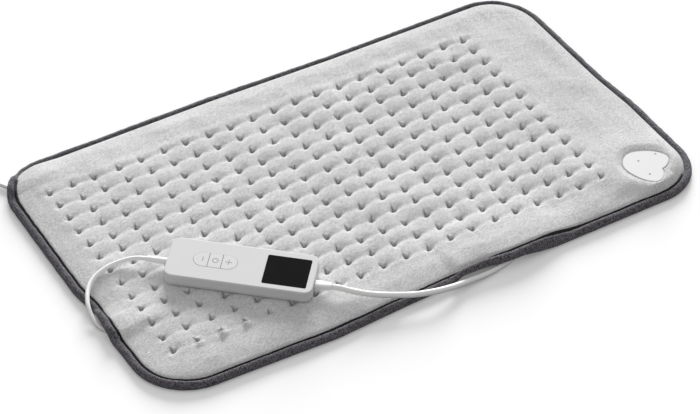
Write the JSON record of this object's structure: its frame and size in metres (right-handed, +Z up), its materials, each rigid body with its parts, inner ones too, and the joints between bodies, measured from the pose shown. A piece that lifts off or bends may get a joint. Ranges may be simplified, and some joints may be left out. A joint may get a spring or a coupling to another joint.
{
  "type": "heating pad",
  "caption": "Plush-covered electric heating pad with quilted tufts and bound edge, lying flat, with a wired hand controller, dark display and sprung keys, and its leads",
  "frame": {"origin": "middle of the pad's footprint, on the surface that it lies on", "axes": "+X along the pad's long side towards the corner with the connector, +Y along its short side away from the controller, +Z up"},
  "size_m": [0.685, 0.4994, 0.0248],
  "materials": {
    "plush": "light grey short-pile plush",
    "binding_tape": "dark grey knitted tape",
    "felt": "matt grey felt",
    "wire_insulation": "smooth red insulation",
    "white_plastic": "finely textured white",
    "vinyl": "satin white",
    "dark_window": "glossy black",
    "dark_plastic": "satin black",
    "board": "green lacquer",
    "film": "yellow",
    "steel": "plain",
    "brass": "plain"
  },
  "bodies": {
    "base": {"pad_top_cover": "plush", "pad_bottom_cover": "plush", "edge_binding": "binding_tape", "fleece_layer": "felt", "heater_carrier": "felt", "heating_wire": "wire_insulation", "thermal_cutout": "steel", "temperature_sensor": "dark_plastic", "connector_cover": "white_plastic", "connector_housing": "white_plastic", "socket_contact_1": "brass", "socket_contact_2": "brass", "cover_rivet_1": "steel", "cover_rivet_2": "steel", "cover_rivet_3": "steel", "connector_plug": "white_plastic", "connector_sleeve": "vinyl", "controller_top_shell": "white_plastic", "controller_bottom_shell": "white_plastic", "case_screw_1": "steel", "case_screw_2": "steel", "case_screw_3": "steel", "case_screw_4": "steel", "display_window": "dark_window", "display_frame": "dark_plastic", "display_module": "dark_plastic", "key_switch_minus": "dark_plastic", "key_switch_power": "dark_plastic", "key_switch_plus": "dark_plastic", "circuit_board": "board", "power_switch_triac": "dark_plastic", "film_capacitor": "film", "control_chip": "dark_plastic", "smoothing_capacitor": "dark_plastic", "fuse": "steel", "terminal_mains": "white_plastic", "terminal_pad": "white_plastic", "mains_core_a": "wire_insulation", "mains_core_b": "wire_insulation", "pad_core_a": "wire_insulation", "pad_core_b": "wire_insulation", "mains_strain_relief": "vinyl", "pad_strain_relief": "vinyl", "pad_lead": "vinyl", "mains_lead": "vinyl", "mains_lead_coil": "vinyl", "mains_lead_tail": "vinyl", "coil_tie": "dark_plastic", "mains_plug": "white_plastic", "mains_plug_pin_1": "brass", "mains_plug_pin_2": "brass", "mains_plug_sleeve": "vinyl"},
    "key_minus": {"button_minus": "white_plastic", "switch_plunger_minus": "white_plastic"},
    "key_power": {"button_power": "white_plastic", "switch_plunger_power": "white_plastic"},
    "key_plus": {"button_plus": "white_plastic", "switch_plunger_plus": "white_plastic"}
  },
  "joints": [
    {"name": "minus_press", "type": "slide", "parent": "base", "child": "key_minus", "axis": [0, 0, -1], "range_m": [0, 0.0005], "stiffness_N_per_m": 1500},
    {"name": "power_press", "type": "slide", "parent": "base", "child": "key_power", "axis": [0, 0, -1], "range_m": [0, 0.0005], "stiffness_N_per_m": 1500},
    {"name": "plus_press", "type": "slide", "parent": "base", "child": "key_plus", "axis": [0, 0, -1], "range_m": [0, 0.0005], "stiffness_N_per_m": 1500}
  ]
}
